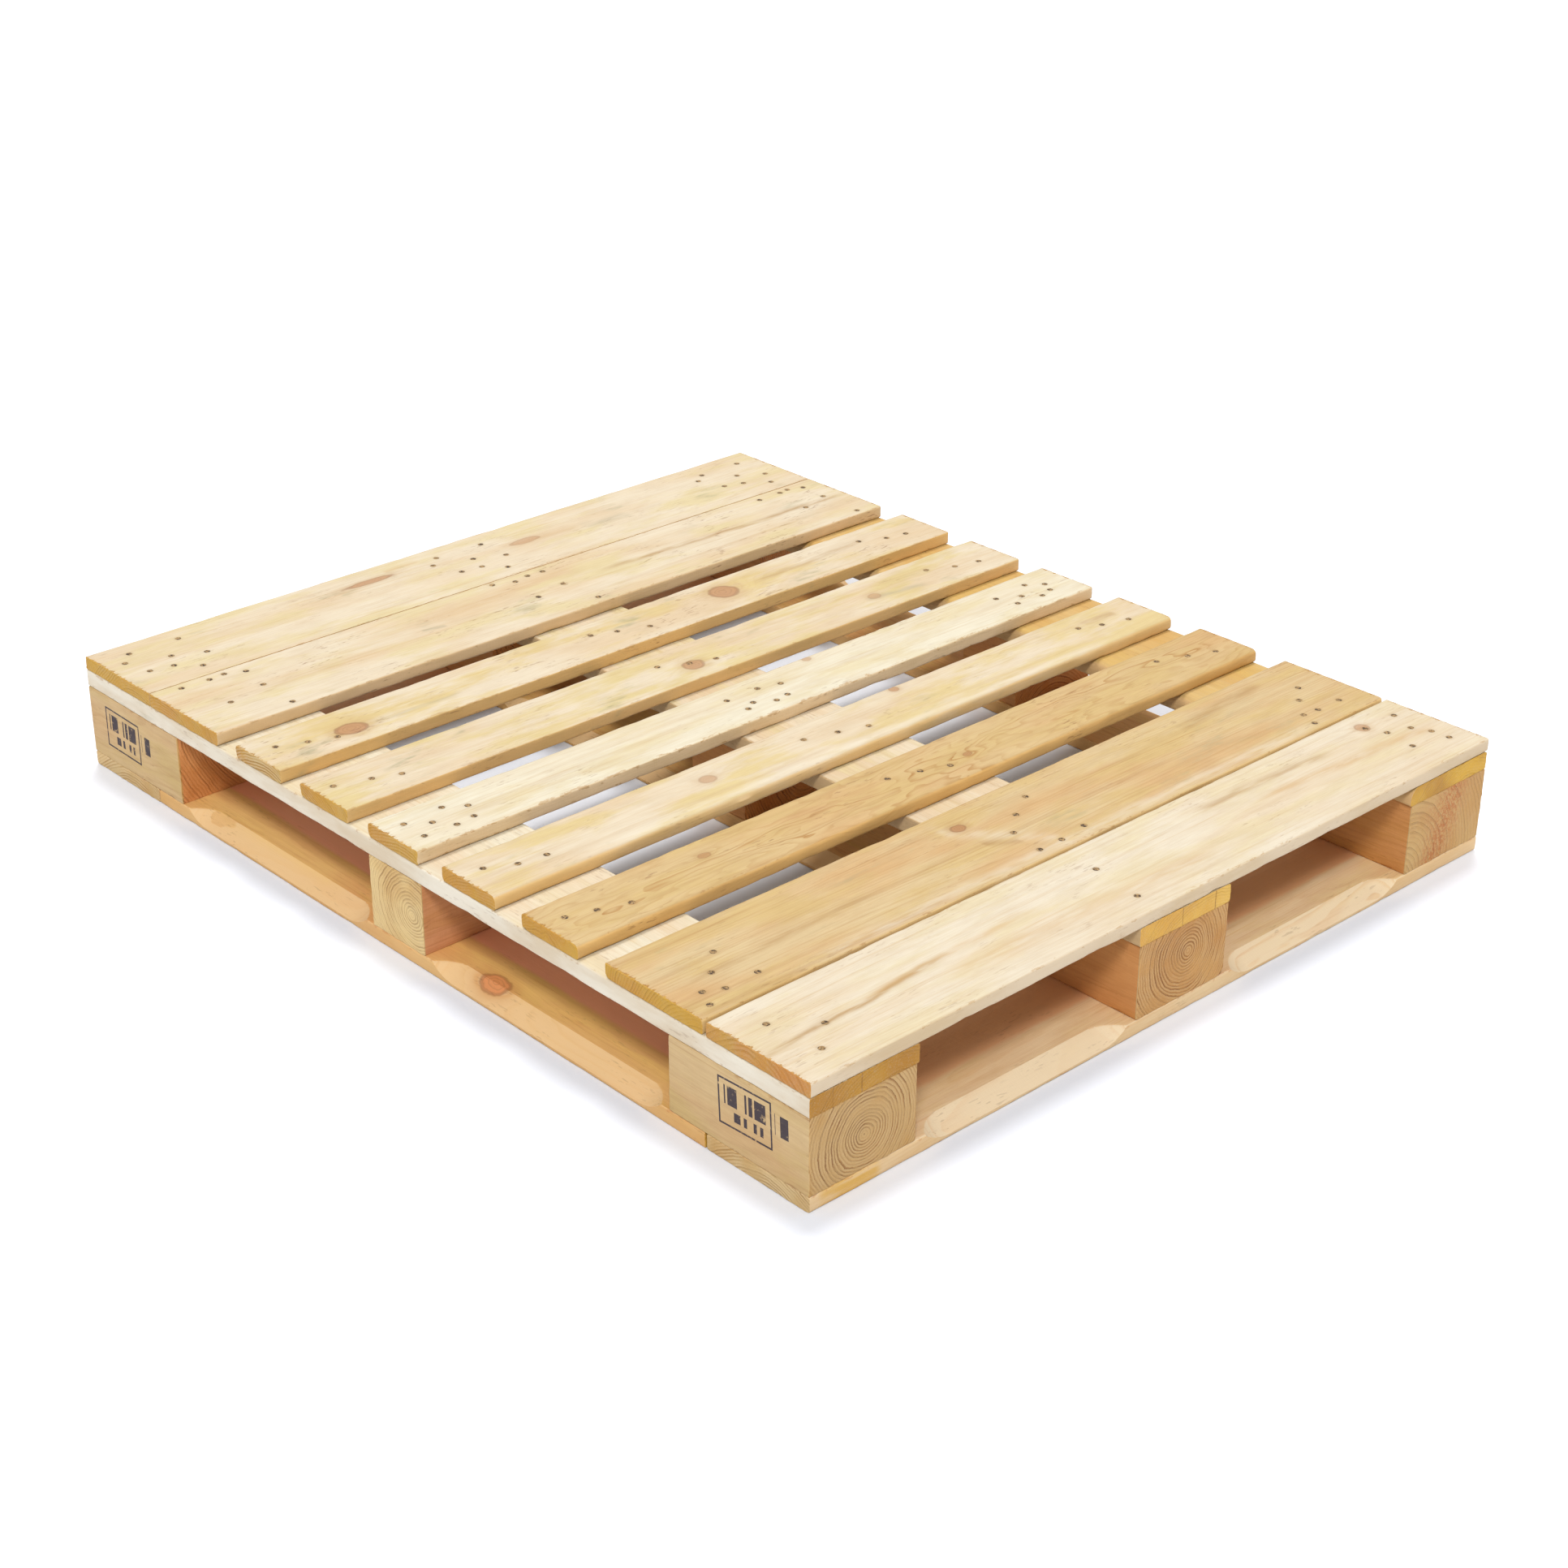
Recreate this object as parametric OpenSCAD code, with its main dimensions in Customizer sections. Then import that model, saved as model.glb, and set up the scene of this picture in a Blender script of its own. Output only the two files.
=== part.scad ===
// Four-way entry block pallet with a perimeter base, built from sawn softwood.
// Frame: millimetres, +Z up. The origin is on the floor under the middle of the pallet.
// +X runs along the long side and +Y along the short side, which the deck boards follow.

/* [Overall] */
// Length of the pallet, along X
pallet_l = 1219; // [1180:1:1300]
// Width of the pallet, along Y
pallet_w = 1016; // [900:1:1200]

/* [Deck boards] */
// Width of the four boards that make the two end pairs
wide_board_w = 138; // [128:1:142]
// Width of the five boards between the end pairs
narrow_board_w = 86; // [76:1:92]
// Thickness of every deck board
deck_t = 16; // [14:0.5:20]

/* [Stringer boards] */
// Width of the three boards that carry the deck
stringer_w = 137; // [130:1:145]
// Thickness of the three boards that carry the deck
stringer_t = 21; // [18:0.5:24]

/* [Blocks] */
// Length of the six blocks at the two ends, along X
end_block_l = 190; // [170:1:210]
// Length of the three blocks half way along, along X
middle_block_l = 90; // [80:1:110]
// Width of every block, along Y
block_w = 134; // [120:1:137]
// Height of every block
block_h = 83; // [76:1:100]

/* [Bottom boards] */
// Width of the two lead boards that cross the ends
lead_board_w = 138; // [128:1:145]
// Width of the three lengthwise boards between the lead boards
runner_w = 137; // [125:1:145]
// Thickness of every bottom board
bottom_t = 17; // [15:0.5:20]
// Gap where a lengthwise board butts against a lead board
butt_gap = 1; // [0.5:0.5:4]

/* [Chamfers] */
// How far a chamfer reaches in from the edge of a bottom board
chamfer_in = 22; // [10:1:30]
// How far a chamfer reaches down the edge of a bottom board
chamfer_down = 13; // [6:1:14]
// Radius of the cutter that leaves the curved ends of a chamfer
cutter_r = 60; // [40:5:90]
// Distance from a block to the start of the chamfer beside it
chamfer_clear = 12; // [5:1:30]

/* [Nails] */
// Diameter of a nail head
head_d = 7; // [6:0.5:9]
// Thickness of a nail head
head_t = 1.4; // [1:0.1:2]
// Diameter of a nail shank
shank_d = 3; // [2.5:0.1:3.4]
// Depth of a nail head below the face of the board
sunk = 0.6; // [0.2:0.1:1.5]
// Length of the nails that hold the deck to the blocks
deck_nail_l = 62; // [55:1:66]
// Length of the nails that hold the deck to the stringer boards alone
short_nail_l = 35; // [28:1:36]
// Length of the nails that hold the bottom boards to the blocks
bottom_nail_l = 50; // [40:1:54]
// How far a nail may stray from its place in the pattern
nail_stray = 4; // [0:1:6]

/* [Edges] */
// Rounding along the long edges of a board
board_edge_r = 3; // [1:0.5:5]
// Rounding along the edges of a block
block_edge_r = 2; // [1:0.5:5]

/* [Hidden] */
$fn = 48;
eps = 1;
ROWS = ["left", "middle", "right"];
COLUMNS = ["rear", "middle", "front"];

// Heights of the layers above the floor
block_z = bottom_t;
stringer_z = block_z + block_h;
deck_z = stringer_z + stringer_t;
pallet_h = deck_z + deck_t;

// The deck from the rear end to the front end: widths, and each gap's share of the free length
board_widths = [wide_board_w, wide_board_w, narrow_board_w, narrow_board_w, narrow_board_w,
                narrow_board_w, narrow_board_w, wide_board_w, wide_board_w];
gap_shares = [1, 37, 37, 36, 40, 42, 40, 4];
boards = len(board_widths);
function sum_to(list, n) = n <= 0 ? 0 : list[n - 1] + sum_to(list, n - 1);
free_l = pallet_l - sum_to(board_widths, boards);
gap_unit = free_l / sum_to(gap_shares, boards - 1);
function board_x(i) = -pallet_l / 2 + sum_to(board_widths, i) + gap_unit * sum_to(gap_shares, i)
                      + board_widths[i] / 2;

// Middles of the rows, which run along X, and of the columns of blocks
outer_y = pallet_w / 2 - stringer_w / 2;
row_y = [-outer_y, 0, outer_y];
block_y = [-(pallet_w - block_w) / 2, 0, (pallet_w - block_w) / 2];
middle_board = 4;
column_x = [-(pallet_l - end_block_l) / 2, board_x(middle_board), (pallet_l - end_block_l) / 2];
column_l = [end_block_l, middle_block_l, end_block_l];
lead_x = [-(pallet_l - lead_board_w) / 2, (pallet_l - lead_board_w) / 2];
runner_l = pallet_l - 2 * lead_board_w - 2 * butt_gap;
runner_y = [-(pallet_w - runner_w) / 2, 0, (pallet_w - runner_w) / 2];

// Nail patterns, as offsets from the middle of a board where it crosses a row
rear_pattern = [[-38, 36], [14, 40], [-38, -26], [-20, -44], [-8, 4], [20, -8], [18, -36], [46, 22]];
rear_inner_pattern = [[-56, 22], [-52, 44], [-54, 0], [-58, -32], [-8, 38], [8, -8], [54, 38]];
narrow_pattern = [[-12, -42], [2, -8], [12, 28]];
middle_pattern = [[-20, 8], [-6, 34], [14, 24], [4, -18], [22, 2], [-14, -42], [18, -40]];
front_inner_pattern = [[-14, 20], [8, -8], [38, 24], [42, -12], [34, -36], [54, -42]];
front_inner_middle_pattern = [[-40, 34], [-13, -3], [8, -33], [50, -42], [52, -10], [50, 28]];
front_left_pattern = [[-30, -32], [2, 14], [36, -18]];
front_middle_pattern = [[-20, -28], [42, -40]];
front_right_pattern = [[-42, -12], [-38, 42], [-16, 2], [-2, 24], [16, 40], [38, 42], [26, -4]];
lead_pattern = [[-40, -40], [-36, 40], [0, 0], [38, -38], [40, 40]];
runner_end_pattern = [[0, -36], [0, 36]];
runner_middle_pattern = [[-24, -36], [-22, 34], [24, -38], [22, 36]];

// The pattern of deck board i in row j
function deck_pattern(i, j) =
    i == 0 ? rear_pattern
    : i == 1 ? rear_inner_pattern
    : i == middle_board ? middle_pattern
    : i == boards - 2 ? (j == 1 ? front_inner_middle_pattern : front_inner_pattern)
    : i == boards - 1 ? [front_left_pattern, front_middle_pattern, front_right_pattern][j]
    : narrow_pattern;
function strayed(points, seed) =
    let (shift = rands(-nail_stray, nail_stray, 2 * len(points), seed))
    [for (k = [0:len(points) - 1]) [points[k][0] + shift[2 * k], points[k][1] + shift[2 * k + 1]]];
// The nails of deck board i in row j
function deck_nails(i, j) =
    [for (p = strayed(deck_pattern(i, j), 31 * i + 7 * j + 5)) [board_x(i) + p[0], row_y[j] + p[1]]];
nail_margin = 6;
function over_block(x) =
    max([for (c = [0:2]) abs(x - column_x[c]) < column_l[c] / 2 - nail_margin ? 1 : 0]) == 1;
function near_block_edge(x) =
    max([for (c = [0:2]) abs(abs(x - column_x[c]) - column_l[c] / 2) <= nail_margin ? 1 : 0]) == 1;
// The bottom nails of row j, which reach up through the lead boards and the lengthwise boards
function lead_nails(e, j) =
    [for (p = strayed(lead_pattern, 90 + 3 * e + j)) [lead_x[e] + p[0], block_y[j] + p[1]]];
runner_nail_x = (runner_l / 2 + pallet_l / 2 - end_block_l) / 2;
function runner_nails(j) = concat(
    [for (p = strayed(runner_end_pattern, 120 + j)) [-runner_nail_x + p[0] / 2, block_y[j] + p[1]]],
    [for (p = strayed(runner_middle_pattern, 140 + j)) [column_x[1] + p[0], block_y[j] + p[1]]],
    [for (p = strayed(runner_end_pattern, 130 + j)) [runner_nail_x + p[0] / 2, block_y[j] + p[1]]]);

deck_color = "wheat";
stringer_color = "moccasin";
block_color = "burlywood";
bottom_color = "navajowhite";
nail_color = "dimgray";

// A rectangle of width w and height h with round corners, standing on the X axis
module round_section(w, h, r) {
    translate([-w / 2 + r, 0]) square([w - 2 * r, h]);
    translate([-w / 2, r]) square([w, h - 2 * r]);
    for (x = [-w / 2 + r, w / 2 - r], z = [r, h - r]) {
        translate([x, z]) circle(r);
    }
}

// A board of length l, width w and thickness t whose grain runs along Y
module board_along_y(l, w, t) {
    translate([0, l / 2, 0]) rotate([90, 0, 0]) linear_extrude(l) round_section(w, t, board_edge_r);
}

// The same board with its grain along X
module board_along_x(l, w, t) {
    rotate([0, 0, 90]) board_along_y(l, w, t);
}

// A nail with its head's top at the origin and its point down
module nail(l) {
    point_l = 4;
    point_d = 0.8;
    translate([0, 0, -head_t]) cylinder(h = head_t, d = head_d);
    translate([0, 0, point_l - l]) cylinder(h = l - head_t - point_l + eps / 2, d = shank_d);
    translate([0, 0, -l]) cylinder(h = point_l, d1 = point_d, d2 = shank_d);
}

// The hole that the same nail and its sunk head fill, open at the face of the board
module nail_hole(l) {
    nail(l);
    translate([0, 0, -head_t]) cylinder(h = head_t + sunk + eps, d = head_d);
}

// The long and the short nails of deck board i in row j
module board_nails(i, j, long) {
    for (p = deck_nails(i, j)) {
        if (long == over_block(p[0]) && (long || !near_block_edge(p[0]))) {
            translate([p[0], p[1], pallet_h - sunk]) nail(long ? deck_nail_l : short_nail_l);
        }
    }
}

module board_nail_holes(i, j) {
    for (p = deck_nails(i, j)) {
        long = over_block(p[0]);
        if (long || !near_block_edge(p[0])) {
            translate([p[0], p[1], pallet_h - sunk]) nail_hole(long ? deck_nail_l : short_nail_l);
        }
    }
}

module upward_nails(points) {
    for (p = points) {
        translate([p[0], p[1], sunk]) mirror([0, 0, 1]) nail(bottom_nail_l);
    }
}

module upward_nail_holes(points) {
    for (p = points) {
        translate([p[0], p[1], sunk]) mirror([0, 0, 1]) nail_hole(bottom_nail_l);
    }
}

// The slope that eases one top edge of a bottom board, along X at y = 0, over the span l.
// The cutter is a disc whose flat path ends in arcs, so the slope runs out in curves.
module chamfer_cut(l) {
    slope = atan2(chamfer_down, chamfer_in);
    face = norm([chamfer_in, chamfer_down]);
    corner_depth = chamfer_in * chamfer_down / face;
    run_out = sqrt(2 * cutter_r * corner_depth - corner_depth * corner_depth);
    flat_l = l - 2 * run_out;
    rotate([slope, 0, 0]) translate([0, face + 2 * eps, 0]) rotate([90, 0, 0])
        linear_extrude(face + 12 * eps) {
            translate([-flat_l / 2, 0]) square([flat_l, 2 * cutter_r]);
            for (x = [-flat_l / 2, flat_l / 2]) {
                translate([x, cutter_r]) circle(cutter_r, $fn = 96);
            }
        }
}

// The two chamfers of a lead board or a lengthwise board lie between its blocks.
// Along X the gaps between blocks differ, so each has its own middle and length.
function gap_middle(c) = (column_x[c] + column_l[c] / 2 + column_x[c + 1] - column_l[c + 1] / 2) / 2;
function gap_l(c) = column_x[c + 1] - column_l[c + 1] / 2 - column_x[c] - column_l[c] / 2;

module deck_board(i) {
    color(deck_color) difference() {
        translate([board_x(i), 0, deck_z]) board_along_y(pallet_w, board_widths[i], deck_t);
        for (j = [0:2]) {
            board_nail_holes(i, j);
        }
    }
}

module stringer(j) {
    color(stringer_color) difference() {
        translate([0, row_y[j], stringer_z]) board_along_x(pallet_l, stringer_w, stringer_t);
        for (i = [0:boards - 1]) {
            board_nail_holes(i, j);
        }
    }
}

// The nails over and under the block in column c and row j are the only ones that it holds
function boards_over(c) =
    [for (i = [0:boards - 1])
        if (abs(board_x(i) - column_x[c]) < (board_widths[i] + column_l[c]) / 2) i];

module block(c, j) {
    color(block_color) difference() {
        translate([column_x[c], block_y[j], block_z]) board_block(column_l[c]);
        for (i = boards_over(c)) {
            board_nail_holes(i, j);
        }
        upward_nail_holes(runner_nails(j));
        if (c != 1) {
            upward_nail_holes(lead_nails(c / 2, j));
        }
    }
}

module board_block(l) {
    translate([-l / 2, 0, 0]) rotate([90, 0, 90]) linear_extrude(l)
        round_section(block_w, block_h, block_edge_r);
}

module lead_board(e) {
    side = e == 0 ? -1 : 1;
    color(bottom_color) difference() {
        translate([lead_x[e], 0, 0]) board_along_y(pallet_w, lead_board_w, bottom_t);
        for (y = [-1, 1]) {
            translate([side * pallet_l / 2, y * (block_y[2] / 2), bottom_t - chamfer_down])
                rotate([0, 0, side * 90]) chamfer_cut(block_y[2] - block_w - 2 * chamfer_clear);
        }
        for (j = [0:2]) {
            upward_nail_holes(lead_nails(e, j));
        }
    }
}

// The outer two lengthwise boards are eased on their outer edges, the middle one on both
module runner(j) {
    color(bottom_color) difference() {
        translate([0, runner_y[j], 0]) board_along_x(runner_l, runner_w, bottom_t);
        for (c = [0:1], side = [-1, 1]) {
            if (j == 1 || side == j - 1) {
                translate([gap_middle(c), runner_y[j] + side * runner_w / 2, bottom_t - chamfer_down])
                    rotate([0, 0, side == -1 ? 0 : 180]) chamfer_cut(gap_l(c) - 2 * chamfer_clear);
            }
        }
        upward_nail_holes(runner_nails(j));
    }
}

module deck_nail_row(j) {
    color(nail_color) for (i = [0:boards - 1]) {
        board_nails(i, j, true);
    }
}

module short_nail_row(j) {
    color(nail_color) for (i = [0:boards - 1]) {
        board_nails(i, j, false);
    }
}

module bottom_nail_row(j) {
    color(nail_color) {
        upward_nails(lead_nails(0, j));
        upward_nails(lead_nails(1, j));
        upward_nails(runner_nails(j));
    }
}

for (i = [0:boards - 1]) {
    deck_board(i);
}
for (j = [0:2]) {
    stringer(j);
    runner(j);
    deck_nail_row(j);
    short_nail_row(j);
    bottom_nail_row(j);
    for (c = [0:2]) {
        block(c, j);
    }
}
for (e = [0:1]) {
    lead_board(e);
}
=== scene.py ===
"""Looks for a four-way entry block pallet. Units are metres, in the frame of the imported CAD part."""
import math
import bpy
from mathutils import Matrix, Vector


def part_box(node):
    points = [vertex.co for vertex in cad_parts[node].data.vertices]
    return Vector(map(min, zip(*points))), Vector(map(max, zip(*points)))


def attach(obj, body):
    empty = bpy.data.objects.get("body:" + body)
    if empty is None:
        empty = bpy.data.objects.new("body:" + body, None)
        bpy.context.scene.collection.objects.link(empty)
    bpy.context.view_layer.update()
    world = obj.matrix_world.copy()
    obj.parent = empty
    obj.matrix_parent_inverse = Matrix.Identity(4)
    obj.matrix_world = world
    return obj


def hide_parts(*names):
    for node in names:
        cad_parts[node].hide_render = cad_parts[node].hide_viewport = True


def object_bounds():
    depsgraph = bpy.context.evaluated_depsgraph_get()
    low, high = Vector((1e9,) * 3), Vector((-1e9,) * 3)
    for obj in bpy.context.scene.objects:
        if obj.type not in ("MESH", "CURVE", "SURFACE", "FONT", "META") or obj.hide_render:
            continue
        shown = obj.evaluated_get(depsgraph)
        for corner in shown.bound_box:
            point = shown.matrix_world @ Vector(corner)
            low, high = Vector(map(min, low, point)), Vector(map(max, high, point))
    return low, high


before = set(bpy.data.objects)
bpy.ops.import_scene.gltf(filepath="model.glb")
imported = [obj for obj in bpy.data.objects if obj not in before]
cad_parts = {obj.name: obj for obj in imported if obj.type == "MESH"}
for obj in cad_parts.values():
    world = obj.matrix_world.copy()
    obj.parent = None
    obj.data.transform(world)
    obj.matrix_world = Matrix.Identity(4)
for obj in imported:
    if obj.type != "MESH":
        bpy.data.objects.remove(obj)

from types import SimpleNamespace

import bpy
import numpy as np
from mathutils import Matrix, Vector
from mathutils.geometry import delaunay_2d_cdt

MM = 0.001
CAD_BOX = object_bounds()
SIDES = ("left", "middle", "right")
COLUMNS = ("rear", "middle", "front")

# Mesh spacing: offsets in from every arris, then even steps
EDGE_STEPS = (0.0, 0.8 * MM, 2 * MM, 4 * MM)
ACROSS_STEP = 4.5 * MM
ALONG_STEP = 8 * MM
RUN_OUT_STEP = 2 * MM
SHARP_ANGLE = math.radians(24)
CHIP_EVERY = 70 * MM
CHIP_BASE = 3 * MM

# Nail pockets: the gap round a head, the depth below the wood's face, the least distance from the
# edge steps, and the dent and the dark stain round it
POCKET_GAP = 0.15 * MM
POCKET_DEPTH = 2.2 * MM
POCKET_CLEAR = 0.8 * MM
DENT_DEPTH = 0.45 * MM
DENT_WIDTH = 3.2 * MM
STAIN_WIDTH = 1.5 * MM

# Rings of mesh points round a pocket: how far out each lies, and how near other points may come
RING_POINTS = 16
RING_OUT = (0.0, 0.9 * MM, 2.4 * MM, 4.6 * MM)
RING_CLEAR = 0.6 * MM
GRID_CLEAR = 1.5 * MM
RIM_INSIDE = 0.96
SAME_POINT = 1e-7

# The rounding of a sawn end
END_R = 1.3 * MM

# Chamfers of the bottom boards, as in the CAD model
CHAMFER_IN = 22 * MM
CHAMFER_DOWN = 13 * MM
CUTTER_R = 60 * MM
CHAMFER_CLEAR = 12 * MM

# Half the floor's width, and how far it lies below the pallet's feet
FLOOR_REACH = 30
FLOOR_DROP = 0.2 * MM

# Light that the studio puts on the deck, on upright faces, inside the openings and on the base boards
TOP, SIDE, INSIDE, ON_RUNNER, ON_LEAD = 1.58, 1.16, 0.8, 0.95, 0.9


def srgb(red, green, blue, light=1.0):
    """The albedo of a surface that looks this colour (0 to 255 sRGB) where that much light falls on it."""
    def linear(c):
        c /= 255
        return c / 12.92 if c <= 0.04045 else ((c + 0.055) / 1.055) ** 2.4
    return tuple(min(0.92, linear(c) / light) for c in (red, green, blue)) + (1.0,)


# ---- smooth noise for the meshes

def ripple(x, step, seed):
    """Smooth noise from -1 to 1 along x, with a bump about every step."""
    table = np.random.default_rng(seed).uniform(-1, 1, 1024)
    cell = np.asarray(x) / step + 500
    low = np.floor(cell).astype(int)
    blend = cell - low
    blend = blend * blend * (3 - 2 * blend)
    return table[low % 1024] * (1 - blend) + table[(low + 1) % 1024] * blend


def ripple_2d(x, y, step_x, step_y, seed):
    """Smooth noise from -1 to 1 over a face."""
    table = np.random.default_rng(seed).uniform(-1, 1, (128, 128))
    cell_x, cell_y = np.asarray(x) / step_x + 64, np.asarray(y) / step_y + 64
    i, j = np.floor(cell_x).astype(int), np.floor(cell_y).astype(int)
    a, b = cell_x - i, cell_y - j
    a, b = a * a * (3 - 2 * a), b * b * (3 - 2 * b)
    i, j, i1, j1 = i % 128, j % 128, (i + 1) % 128, (j + 1) % 128
    low = table[i, j] * (1 - a) + table[i1, j] * a
    high = table[i, j1] * (1 - a) + table[i1, j1] * a
    return low * (1 - b) + high * b


# ---- meshes of sawn wood

def spaced(size, step, squeeze=1.0):
    """Positions across a side: the edge steps in from both ends, and even steps between."""
    edge = np.array(EDGE_STEPS) * squeeze
    inner = size / 2 - edge[-1]
    middle = np.linspace(-inner, inner, max(2, round(2 * inner / step)) + 1)
    outer = -size / 2 + edge[:-1]
    return np.concatenate([outer, middle, -outer[::-1]])


def edge_squeeze(nails, width):
    """How far the edge steps draw together so that every pocket stays clear of them."""
    room = min([width / 2 - abs(v) - HEAD_R - POCKET_GAP for _, v in nails], default=EDGE_STEPS[-1] * 2)
    return min(1.0, (room - POCKET_CLEAR) / EDGE_STEPS[-1])


def box_lattice(us, vs, ws, open_side):
    """Points and outward faces of a box surface. The inner cells of the open side are left out,
    and the numbers of the points round that hole come back as a closed loop."""
    count = len(us), len(vs), len(ws)
    surface = np.zeros(count, bool)
    surface[[0, -1], :, :] = surface[:, [0, -1], :] = surface[:, :, [0, -1]] = True
    number = np.full(count, -1)
    number[surface] = np.arange(surface.sum())
    grid = np.stack(np.meshgrid(us, vs, ws, indexing="ij"), -1)
    faces = []
    margin = len(EDGE_STEPS) - 1
    for axis in range(3):
        for end in (0, -1):
            side = np.take(number, end, axis)
            a, b, c, d = side[:-1, :-1], side[1:, :-1], side[1:, 1:], side[:-1, 1:]
            quads = np.stack([a, b, c, d], -1)
            if axis == 2 and open_side == (1 if end else -1):
                kept = np.ones(quads.shape[:2], bool)
                kept[margin:-margin, margin:-margin] = False
                quads = quads[kept]
            if (end == 0) != (axis == 1):
                quads = quads[..., ::-1]
            faces += quads.reshape(-1, 4).tolist()
    loop = []
    if open_side:
        side = np.take(number, -1 if open_side > 0 else 0, 2)[margin:-margin, margin:-margin]
        rows = side[:, 0], side[-1, 1:], side[-2::-1, -1], side[0, -2:0:-1]
        loop = np.concatenate(rows).tolist()
    return grid[surface], faces, loop


def clear_of(nails, u, v, gap, skip=None):
    """Whether (u, v) is more than gap from every nail but the one numbered skip."""
    return all(k == skip or math.hypot(u - n[0], v - n[1]) > gap for k, n in enumerate(nails))


def closed_ring(first, count):
    """The edges of a closed loop of points that are numbered in a row."""
    return [(first + k, first + (k + 1) % count) for k in range(count)]


def face_plan(us, vs, outline, nails):
    """The flat points of a nailed face, the edges that it has to keep, which are its outline and the
    rims of the pockets, and the numbers of the points on each rim."""
    margin = len(EDGE_STEPS) - 1
    low_u, high_u, low_v, high_v = us[margin], us[-margin - 1], vs[margin], vs[-margin - 1]
    inner_u, inner_v = us[margin + 1:-margin - 1], vs[margin + 1:-margin - 1]
    gap = HOLE_R + RING_OUT[-1] + GRID_CLEAR
    flat = outline + [(u, v) for u in inner_u for v in inner_v if clear_of(nails, u, v, gap)]
    edges, rims = closed_ring(0, len(outline)), []
    for k, (nail_u, nail_v) in enumerate(nails):
        for ring, out in enumerate(RING_OUT):
            first = len(flat)
            for step in range(RING_POINTS):
                turn = 2 * math.pi * (step + ring % 2 / 2) / RING_POINTS
                u = nail_u + (HOLE_R + out) * math.cos(turn)
                v = nail_v + (HOLE_R + out) * math.sin(turn)
                inside = low_u + MM < u < high_u - MM and low_v + MM < v < high_v - MM
                if ring == 0 or (inside and clear_of(nails, u, v, HOLE_R + RING_CLEAR, k)):
                    flat.append((u, v))
            if ring == 0:
                rims.append(range(first, first + RING_POINTS))
                edges += closed_ring(first, RING_POINTS)
    return flat, edges, rims


def nailed_face(us, vs, face_w, loop, points, nails, open_side):
    """Fills the open side with triangles that close in round each nail, and sinks a pocket there.
    Returns all the points, the pockets' floors last, and the faces to add."""
    flat, edges, rims = face_plan(us, vs, [tuple(points[n][:2]) for n in loop], nails)
    made = delaunay_2d_cdt([Vector(p) for p in flat], edges, [], 0, SAME_POINT)
    corners, triangles, sources = made[0], made[2], made[3]
    points = list(map(tuple, points))
    of_corner, of_flat = [], {}
    for corner, came_from in zip(corners, sources):
        if came_from and min(came_from) < len(loop):
            of_corner.append(loop[min(came_from)])
        else:
            of_corner.append(len(points))
            points.append((corner[0], corner[1], face_w))
        for source in came_from:
            of_flat[source] = of_corner[-1]
    faces = []
    for triangle in triangles:
        middle = sum((corners[n] for n in triangle), Vector((0, 0))) / 3
        if clear_of(nails, middle[0], middle[1], HOLE_R * RIM_INSIDE):
            faces.append([of_corner[n] for n in triangle])
    for rim in rims:
        top = [of_flat[n] for n in rim]
        floor = list(range(len(points), len(points) + RING_POINTS))
        points += [(points[n][0], points[n][1], face_w - open_side * POCKET_DEPTH) for n in top]
        faces += [[top[a], top[b], floor[b], floor[a]] for a, b in closed_ring(0, RING_POINTS)]
        faces.append(floor)
    return np.array(points), faces if open_side > 0 else [f[::-1] for f in faces]


def rounded(p, size, radii, seed):
    """Rounds the four long edges by radii that wander along the piece, and nicks them here and there,
    the deeper the rounder they are. radii is for the edges at (-v, -w), (-v, +w), (+v, -w) and (+v, +w)."""
    u, v, w = p.T
    edge = (v > 0) * 2 + (w > 0)
    radius = np.zeros(len(p))
    rng = np.random.default_rng(seed)
    for k, base in enumerate(radii):
        r = base * (1 + 0.3 * ripple(u, 45 * MM, seed + k) + 0.15 * np.abs(ripple(u, 9 * MM, seed + 9 + k)))
        for _ in range(int(size[0] / CHIP_EVERY)):
            place, width = rng.uniform(-0.5, 0.5) * size[0], rng.uniform(3, 10) * MM
            depth = rng.uniform(0.2, 0.65) * min(base, CHIP_BASE)
            r = r + depth * np.exp(-((u - place) / width) ** 2)
        radius = np.where(edge == k, r, radius)
    inner_v = np.clip(v, -size[1] / 2 + radius, size[1] / 2 - radius)
    inner_w = np.clip(w, -size[2] / 2 + radius, size[2] / 2 - radius)
    out_v, out_w = v - inner_v, w - inner_w
    reach = np.maximum(np.hypot(out_v, out_w), 1e-9)
    scale = np.maximum(np.abs(out_v), np.abs(out_w)) / reach
    scale = np.where(reach < 1e-8, 1.0, scale)
    return np.stack([u, inner_v + out_v * scale, inner_w + out_w * scale], -1)


def ragged(p, size, seed, bow):
    """Eases and roughens the sawn ends, lets the faces undulate and bows the piece a little sideways."""
    u, v, w = p.T
    into = np.clip((np.abs(u) - size[0] / 2 + END_R) / END_R, 0, 1)
    inset = END_R * (1 - np.sqrt(1 - into ** 2)) * (0.6 + 0.5 * ripple_2d(v, w, 6 * MM, 6 * MM, seed))
    fine = 0.35 * MM * ripple_2d(v, w, 4 * MM, 3 * MM, seed + 1)
    fuzz = fine + 0.25 * MM * ripple_2d(v, w, 14 * MM, 9 * MM, seed + 2)
    u = u - np.sign(u) * into * (0.45 * MM + fuzz)
    v = v * (1 - 2 * inset / size[1])
    w = w * (1 - 2 * inset / size[2])
    share = v / size[1] * 2
    v = v + share * 0.15 * MM * (ripple(u, 70 * MM, seed + 3) - 1) + bow * (1 - (2 * u / size[0]) ** 2)
    w = w + 0.12 * MM * ripple_2d(u, v, 90 * MM, 30 * MM, seed + 4)
    return np.stack([u, v, w], -1)


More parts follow.
